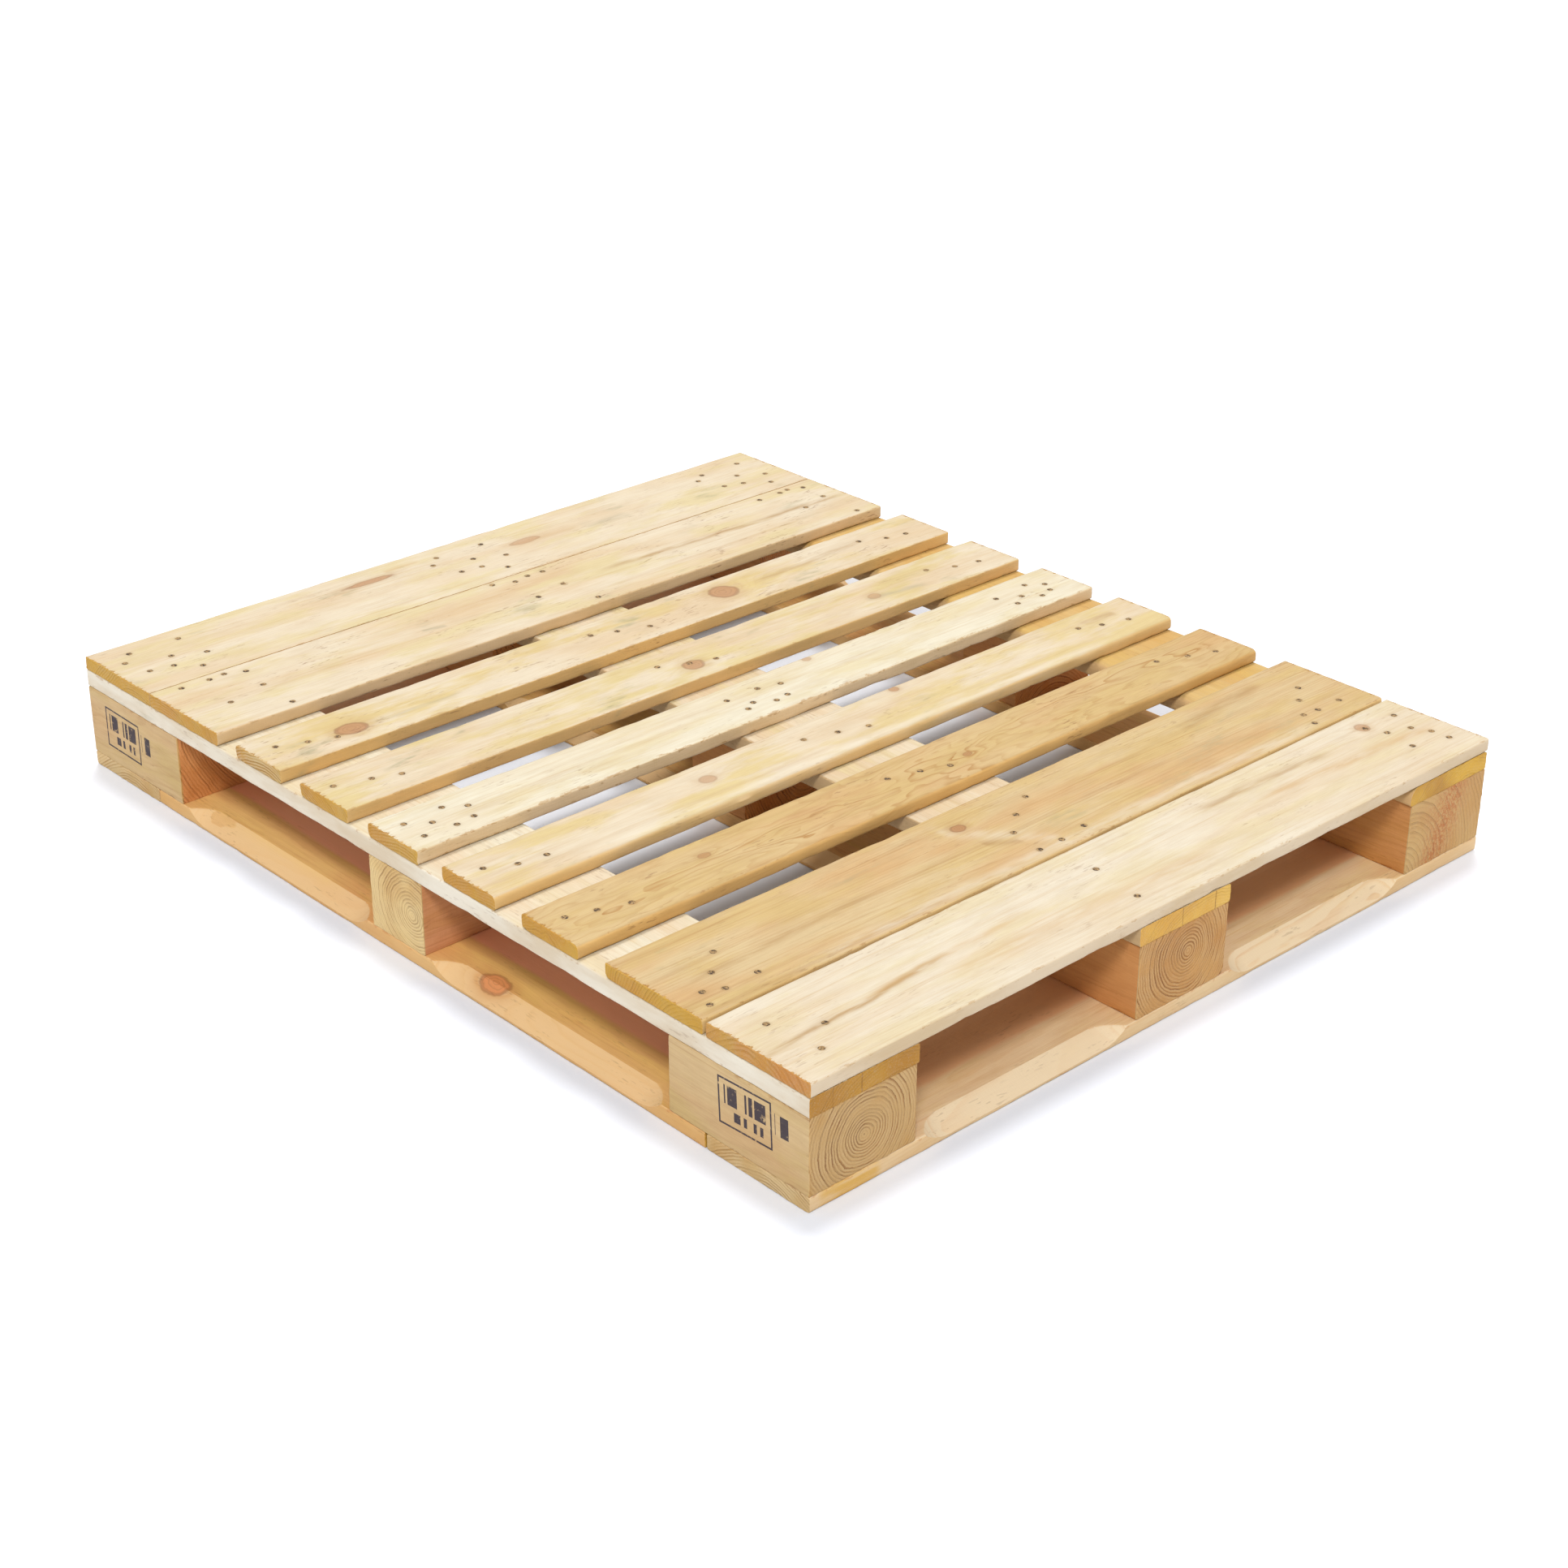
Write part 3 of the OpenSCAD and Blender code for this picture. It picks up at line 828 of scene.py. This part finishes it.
def outermost(s):
    """1 on the surfaces that make up the outer sides of the pallet, and 0 inside the openings, where the
    painted shade goes.
    """
    x, y, _ = s.split(s.place())
    at_x = s.math("GREATER_THAN", s.abs(x), CAD_BOX[1].x - 2 * MM)
    at_y = s.math("GREATER_THAN", s.abs(y), CAD_BOX[1].y - 2 * MM)
    return s.math("MAXIMUM", at_x, at_y)


def finish_surface(s, colour, roughness, normal, specular, metallic=0.0):
    surface = s.tree.nodes.new("ShaderNodeBsdfPrincipled")
    s.feed(surface.inputs["Base Color"], colour)
    s.feed(surface.inputs["Roughness"], roughness)
    if normal:
        s.feed(surface.inputs["Normal"], normal)
    surface.inputs["Specular IOR Level"].default_value = specular
    surface.inputs["Metallic"].default_value = metallic
    output = s.tree.nodes.new("ShaderNodeOutputMaterial")
    s.tree.links.new(surface.outputs[0], output.inputs["Surface"])


def stamp_ink(s, stamp):
    """A plain ink mark on a block's outer face: a frame round two rows of bars, and a small hatched
    square beside it, all worn in places. stamp is the frame's middle (x, z), width, height and turn."""
    x0, z0, width, height, turn = stamp
    place = s.place()
    x, y, z = s.split(place)
    dx, dz = s.minus(x, x0), s.minus(z, z0)
    across = s.times_plus(dz, math.sin(turn), s.times(dx, math.cos(turn)))
    up = s.times_plus(dx, -math.sin(turn), s.times(dz, math.cos(turn)))
    line = 2.1 * MM

    def box_at(at_a, at_b, half_a, half_b):
        a = s.abs(s.minus(across, at_a))
        b = s.abs(s.minus(up, at_b))
        return s.times(s.math("LESS_THAN", a, half_a), s.math("LESS_THAN", b, half_b))

    def bars(pitch, share, shift):
        slot = s.math("FLOOR", s.math("DIVIDE", s.math("ADD", across, shift), pitch))
        drawn = s.node("ShaderNodeTexWhiteNoise", (None, slot), noise_dimensions="1D").outputs[0]
        return s.math("GREATER_THAN", drawn, share)

    hollow = box_at(0, 0, width / 2 - line, height / 2 - line)
    outline = s.minus(box_at(0, 0, width / 2, height / 2), hollow)
    inner = width / 2 - 8 * MM
    top_row = s.times(bars(2.6 * MM, 0.42, 0.0), box_at(0, height * 0.16, inner, height * 0.2))
    low_row = s.times(bars(4.4 * MM, 0.5, 0.2), box_at(0, -height * 0.24, inner, height * 0.1))
    square = box_at(width / 2 + 13 * MM, height * 0.1, 9 * MM, 11 * MM)
    beside = s.times(bars(3.2 * MM, 0.3, 0.5), square)
    mark = s.math("MAXIMUM", s.math("MAXIMUM", outline, top_row), s.math("MAXIMUM", low_row, beside))
    wear = s.band(s.noise(place, 150, 4, 0.7), 0.28, 0.44)
    outer_face = s.math("LESS_THAN", y, CAD_BOX[0].y + 3 * MM)
    return s.times(s.times(mark, outer_face), s.times(wear, 0.94))


def nail_steel():
    """Sunk nail heads: browned steel that shows in dark crescents between wood dust and torn fibres."""
    s = Shade("nail_steel")
    place = s.place()
    each = s.node("ShaderNodeNewGeometry").outputs["Random Per Island"]
    bare = s.times_plus(each, 0.2, s.noise(place, 330, 2, 0.5))
    bare = s.band(bare, 0.55, 0.67)
    pits = s.noise(place, 1500, 2)
    dust = s.mix(s.band(pits, 0.4, 0.7), srgb(206, 170, 118, TOP), srgb(172, 134, 88, TOP))
    colour = s.mix(bare, dust, srgb(74, 54, 36, TOP))
    relief = s.bump(s.times_plus(bare, -1.5, pits), 0.6, 0.15 * MM)
    finish_surface(s, colour, s.band(bare, 0.0, 1.0, 0.8, 0.5), relief, 0.4, 0.15)
    return s.material


# ---- the pieces

BROWN = srgb(190, 148, 92, TOP)
TAN = srgb(224, 184, 128, TOP)
PALE = srgb(250, 238, 214, TOP)
GREY = srgb(188, 176, 146, TOP)

# For each deck board, from the rear: its look, and the radii in mm of its long edges: rear bottom, rear
# top, front bottom and front top
DECK = [
    (look_like(
        PINE, TOP, smudge=0.4, side=(226, 186, 130), pith=(0.05, -0.07), streaks=0.15,
        knots=((-0.137, -0.031, 0.034, 0.006, 0.75), (0.088, -0.01, 0.022, 0.007, 0.5)),
        marks=((-0.11, -0.04, -0.05, -0.048, 5, 0.45, TAN), (0.17, 0.0, 0.25, 0.01, 9, 0.4, GREY),
               (-0.06, -0.02, 0.18, 0.0, 7, 0.3, TAN))),
     (2, 2, 0.7, 0.5)),
    (look_like(
        PINE, TOP, warm=(242, 214, 172), side=(232, 197, 148), pith=(-0.03, -0.06), flecks=0.5, smudge=0.35,
        marks=((0.08, -0.008, 0.52, 0.004, 5, 0.7, BROWN), (-0.2, -0.02, 0.1, -0.04, 9, 0.4, TAN),
               (-0.18, -0.006, -0.145, 0.0, 3, 0.8, GREY))),
     (0.7, 0.5, 3, 2)),
    (look_like(
        PINE, TOP, smudge=0.55, yellow=(240, 214, 144), side=(232, 184, 104), flecks=0.5,
        end=(204, 168, 92), end_rings=0.95,
        knots=((-0.391, 0.008, 0.019, 0.012, 0.85), (0.163, -0.0045, 0.019, 0.0165, 0.8)),
        marks=((-0.37, 0.01, -0.24, 0.016, 4, 0.4, GREY), (0.2, 0.0, 0.42, -0.012, 5, 0.45, BROWN))),
     (8, 2.5, 2, 1.5)),
    (look_like(
        PINE, TOP, smudge=0.6, yellow=(240, 218, 152), side=(230, 182, 108), pith=(-0.05, -0.08),
        knots=((-0.004, 0.0105, 0.0135, 0.0115, 0.75), (0.29, 0.006, 0.009, 0.007, 0.45)),
        marks=((0.27, 0.008, 0.37, 0.02, 5, 0.5, GREY),)),
     (8, 2.5, 2, 2)),
    (look_like(
        PINE, TOP, light=(255, 247, 222), warm=(250, 234, 202), side=(240, 210, 166), patches=0.6,
        flecks=0.35, tears=0.6, tear_width=5 * MM, knots=((0.102, -0.0365, 0.006, 0.005, 0.5),)),
     (7, 3, 3, 2)),
    (look_like(
        PINE, TOP, side=(234, 190, 116), smudge=0.3, yellow=(242, 218, 152), pith=(0.04, -0.07),
        knots=((0.118, -0.0365, 0.006, 0.006, 0.7), (-0.186, -0.0085, 0.011, 0.008, 0.5)),
        marks=((-0.45, 0.034, 0.45, 0.036, 6, 0.55, PALE), (0.41, -0.02, 0.47, -0.012, 6, 0.5, BROWN))),
     (6, 3, 3, 7)),
    (look_like(
        HONEY, TOP, rings=0.75, ring_gap=5 * MM, lean=(0.05, 0.03), wander=44 * MM, waver=10 * MM,
        swirl=(8, 32), threads=0.25, side=(226, 180, 108), light=(236, 206, 150), flecks=0.45,
        knots=((0.06, 0.006, 0.006, 0.004, 0.7), (-0.3, -0.012, 0.008, 0.005, 0.5))),
     (7, 2.5, 3, 6)),
    (look_like(
        HONEY, TOP, light=(238, 212, 162), streaks=0.4, smudge=0.35, pith=(0.08, -0.05),
        side=(238, 202, 136), knots=((-0.071, -0.0328, 0.009, 0.007, 0.8),),
        marks=((-0.08, 0.006, -0.04, 0.03, 7, 0.6, BROWN), (-0.49, 0.012, -0.2, 0.004, 5, 0.5, BROWN),
               (0.27, -0.03, 0.44, -0.05, 8, 0.6, BROWN), (-0.42, 0.06, 0.46, 0.058, 8, 0.45, PALE),
               (-0.1, -0.05, 0.0, 0.06, 16, 0.35, PALE))),
     (8, 2, 2, 3)),
    (look_like(
        PINE, TOP, light=(252, 240, 216), side=(222, 200, 168), end=(198, 150, 66), end_warm=(200, 134, 58),
        patches=0.5, pith=(0.0, -0.05), ring_gap=5 * MM, knots=((0.427, -0.041, 0.008, 0.008, 0.6),),
        marks=((-0.52, 0.012, -0.25, -0.008, 4, 0.9, BROWN), (-0.44, 0.0, -0.13, -0.012, 5, 0.5, TAN),
               (0.13, -0.036, 0.36, -0.03, 6, 0.55, BROWN), (0.2, -0.01, 0.5, 0.008, 6, 0.6, TAN),
               (-0.3, 0.02, 0.1, 0.03, 12, 0.4, TAN))),
     (2, 2.5, 3, 2)),
]
DECK_BOW = 0.6 * MM


def dress(piece, node, grain, look, seed, stamp=None):
    """Gives a piece its own wood."""
    piece.data.materials.append(wood(node, grain, look, seed, stamp))


def deck_boards():
    for number, (look, radii) in enumerate(DECK):
        node = f"deck_board_{number + 1}"
        bow = DECK_BOW * (-1) ** number if 2 <= number < 7 else 0.0
        piece = wood_piece(node, "y", 100 + 20 * number, [r * MM for r in radii], nail_side=1, bow=bow)
        dress(piece, node, "y", look, 3.7 * number + 1)


STRINGERS = {
    "left": dict(
        light=(255, 247, 222), warm=(252, 232, 200), yellow=(250, 234, 196), side=(237, 228, 209),
        side_tone=0.9, smudge=0.3, end=(190, 138, 48), end_warm=(180, 126, 44),
        splits=((-0.005, 1.2 * MM), (-0.04, 0.6 * MM))),
    "middle": dict(
        side=(214, 180, 130), end=(230, 184, 86), end_warm=(220, 166, 72),
        splits=((-0.005, 0.9 * MM), (0.045, 1.2 * MM))),
    "right": dict(
        end=(218, 170, 64), light=(240, 206, 140), warm=(232, 184, 104), yellow=(236, 196, 112)),
}


def stringers():
    shared = look_like(PINE, TOP, end=(204, 156, 62), end_warm=(192, 140, 56), end_rings=0.12)
    for number, side in enumerate(SIDES):
        radii = [2 * MM, (12 if side == "right" else 2.5) * MM, 2 * MM, 2.5 * MM]
        piece = wood_piece(f"stringer_{side}", "x", 400 + 20 * number, radii)
        look = look_like(shared, TOP, **STRINGERS[side])
        dress(piece, f"stringer_{side}", "x", look, 40 + 5 * number)


# A block's inner-face tint is painted shade: it darkens and reddens the faces of a block that look into the
# openings, for the shade and reddish bounced light there
BLOCKS = {
    "block_front_left": dict(
        pith=(-0.004, -0.006), end=(199, 160, 104), end_warm=(192, 140, 66)),
    "block_front_middle": dict(
        pith=(0.002, 0.007), end=(204, 154, 92), end_warm=(190, 134, 72)),
    "block_front_right": dict(
        pith=(-0.09, -0.05), end=(206, 168, 108), end_warm=(198, 152, 92), ring_gap=5.5 * MM, end_rings=0.2,
        scar=(0.0, 0.012, 30 * MM, srgb(188, 118, 66, SIDE))),
    "block_middle_left": dict(
        end=(232, 202, 142), end_warm=(216, 176, 112), end_rings=0.6, shade=(1.1, 0.74, 0.7, 1)),
    "block_rear_left": dict(end_rings=0.3, pith=(0.1, 0.06), shade=(1.26, 0.92, 0.9, 1)),
    "block_rear_middle": dict(pith=(-0.01, 0.03)),
    "block_rear_right": dict(pith=(0.05, 0.02), end=(214, 176, 118)),
    "block_middle_right": dict(pith=(0.0, -0.08), light=(222, 194, 146)),
}

# Each mark's middle, in mm in from the block's end of the pallet and up from its middle, and its turn
STAMPS = {"block_front_left": (-85, 8, 0.05), "block_rear_left": (70, 2, -0.02)}
STAMP_SIZE = (72 * MM, 50 * MM)


def stamp_on(node):
    """The frame's middle (x, z), width, height and turn for a block that has a mark, or None."""
    if node not in STAMPS:
        return None
    inward, up, turn = STAMPS[node]
    edge = CAD_BOX[1].x if inward < 0 else CAD_BOX[0].x
    return (edge + inward * MM, centre_of(node)[2] + up * MM, *STAMP_SIZE, turn)


def blocks():
    # Every block gets the painted shade tint (1.08, 0.72, 0.5) on its faces inside the openings
    shared = look_like(UPRIGHT, SIDE, pith=(0.03, 0.0), lean=(0.05, 0.02), shade=(1.08, 0.72, 0.5, 1))
    for column_number, column in enumerate(COLUMNS):
        for row, side in enumerate(SIDES):
            node = f"block_{column}_{side}"
            grain = "y" if node == "block_middle_left" else "x"
            seed = 500 + 60 * column_number + 20 * row
            radii = [1.5 * MM, 1.5 * MM, (9 if node == "block_front_middle" else 1.5) * MM, 1.5 * MM]
            piece = wood_piece(node, grain, seed, radii)
            look = look_like(shared, SIDE, **BLOCKS.get(node, {}))
            dress(piece, node, grain, look, 60 + 2.3 * seed, stamp_on(node))


# Painted shade: the colours of the redder bands inside the openings, which stand in for the shade there
RUSSET_PAINTED_SHADE, TAWNY_PAINTED_SHADE = srgb(220, 154, 122, INSIDE), srgb(201, 148, 106, INSIDE)
LEAD = look_like(
    LOW, ON_LEAD, light=(220, 194, 156), warm=(212, 180, 136), yellow=(218, 192, 142), rings=0.2,
    side=(230, 204, 156), bevel=(240, 218, 182), end=(214, 184, 130), end_warm=(204, 162, 98),
    end_late=(170, 122, 60), end_rings=0.75)
# On the left runner the heart entry is painted shade on the inner part of the upper face
LEFT_RUNNER = look_like(
    LOW, ON_RUNNER, heart=(1, -8 * MM, RUSSET_PAINTED_SHADE), knots=((0.128, -0.046, 0.02, 0.012, 0.85),),
    marks=((-0.02, -0.03, 0.5, -0.026, 14, 0.8, srgb(220, 178, 104, ON_RUNNER)),
           (-0.5, -0.035, -0.12, -0.04, 12, 0.7, srgb(222, 182, 112, ON_RUNNER))))


def bottom_board(node, grain, seed, chamfers, look, look_seed):
    piece = wood_piece(node, grain, seed, [2 * MM] * 4, nail_side=-1, chamfers=chamfers)
    dress(piece, node, grain, look, look_seed)


def lead_boards():
    """The boards across the ends of the base, with chamfers between the blocks on their outer edges."""
    start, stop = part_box("block_front_left")[1].y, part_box("block_front_middle")[0].y
    middle, length = (stop + start) / 2, stop - start - 2 * CHAMFER_CLEAR
    for number, (column, side) in enumerate((("rear", -1), ("front", 1))):
        corner = (-0.5, side * 0.066, -0.415, side * 0.066, 10, 0.9, srgb(222, 174, 84, SIDE))
        # The heart entry paints shade on the inner part of the lead board's upper face
        look = dict(LEAD, heart=(-side, side * 8 * MM, TAWNY_PAINTED_SHADE), marks=(corner,))
        chamfers = {side: [(middle, length), (-middle, length)]}
        bottom_board(f"lead_board_{column}", "y", 800 + 20 * number, chamfers, look, 90 + 7 * number)


def runners():
    """The lengthwise boards of the base. The outer ones have chamfers on their outer edges only."""
    spans = []
    for first, second in (("rear", "middle"), ("middle", "front")):
        start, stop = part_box(f"block_{first}_left")[1].x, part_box(f"block_{second}_left")[0].x
        spans.append(((start + stop) / 2, stop - start - 2 * CHAMFER_CLEAR))
    edges = {"left": {-1: spans}, "middle": {-1: spans, 1: spans}, "right": {1: spans}}
    for number, side in enumerate(SIDES):
        look = LEFT_RUNNER if side == "left" else LOW
        bottom_board(f"runner_{side}", "x", 900 + 20 * number, edges[side], look, 120 + 9 * number)


def nails():
    steel = nail_steel()
    for kind in ("deck", "short", "bottom"):
        for side in SIDES:
            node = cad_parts[f"{kind}_nails_{side}"]
            node.data.materials.clear()
            node.data.materials.append(steel)


# ---- the studio

def floor():
    """A plain pale floor."""
    mesh = bpy.data.meshes.new("floor")
    corners = [(a * FLOOR_REACH, b * FLOOR_REACH, 0) for a, b in ((-1, -1), (1, -1), (1, 1), (-1, 1))]
    mesh.from_pydata(corners, [], [(0, 1, 2, 3)])
    piece = placed("floor", mesh)
    s = Shade("pale_floor")
    tone = s.mix(s.noise(s.place(), 3, 2), (0.75, 0.775, 0.835, 1), (0.77, 0.795, 0.855, 1))
    finish_surface(s, tone, 0.9, None, 0.1)
    mesh.materials.append(s.material)
    piece.location.z = -FLOOR_DROP


def sun(name, strength, width, towards):
    """A far lamp that shines towards a direction. width is its angle across, in degrees."""
    light = bpy.data.lights.new(name, "SUN")
    light.energy = strength
    light.angle = math.radians(width)
    lamp = placed(name, light)
    lamp.rotation_euler = Vector(towards).to_track_quat("-Z", "Y").to_euler()


def lights():
    """An even white surround, a key from above the camera's side and a softer lamp from behind."""
    world = bpy.data.worlds.new("studio")
    bpy.context.scene.world = world
    world.use_nodes = True
    backdrop = world.node_tree.nodes["Background"]
    backdrop.inputs["Color"].default_value = (1.0, 1.0, 1.0, 1)
    backdrop.inputs["Strength"].default_value = 0.62
    sun("key", 1.93, 12, (-0.5, 0.5, -0.85))
    sun("back", 1.84, 16, (0.23, -0.23, -0.94))


def camera():
    """Looks down at the near corner. The aim is a little past the middle of the deck."""
    lens_data = bpy.data.cameras.new("camera")
    lens_data.lens = 63.7
    lens_data.sensor_width = 36
    view = placed("camera", lens_data)
    aim = Vector((0.0755, -0.0437, 0.07))
    view.location = (2.0752, -1.9047, 1.4536)
    turn = (aim - view.location).to_track_quat("-Z", "Y").to_matrix().to_4x4()
    view.matrix_world = Matrix.Translation(view.location) @ turn @ Matrix.Rotation(math.radians(0.26), 4, "Z")
    bpy.context.scene.camera = view


camera()
lights()
floor()
deck_boards()
stringers()
blocks()
lead_boards()
runners()
nails()
bpy.context.scene.view_settings.view_transform = "Standard"
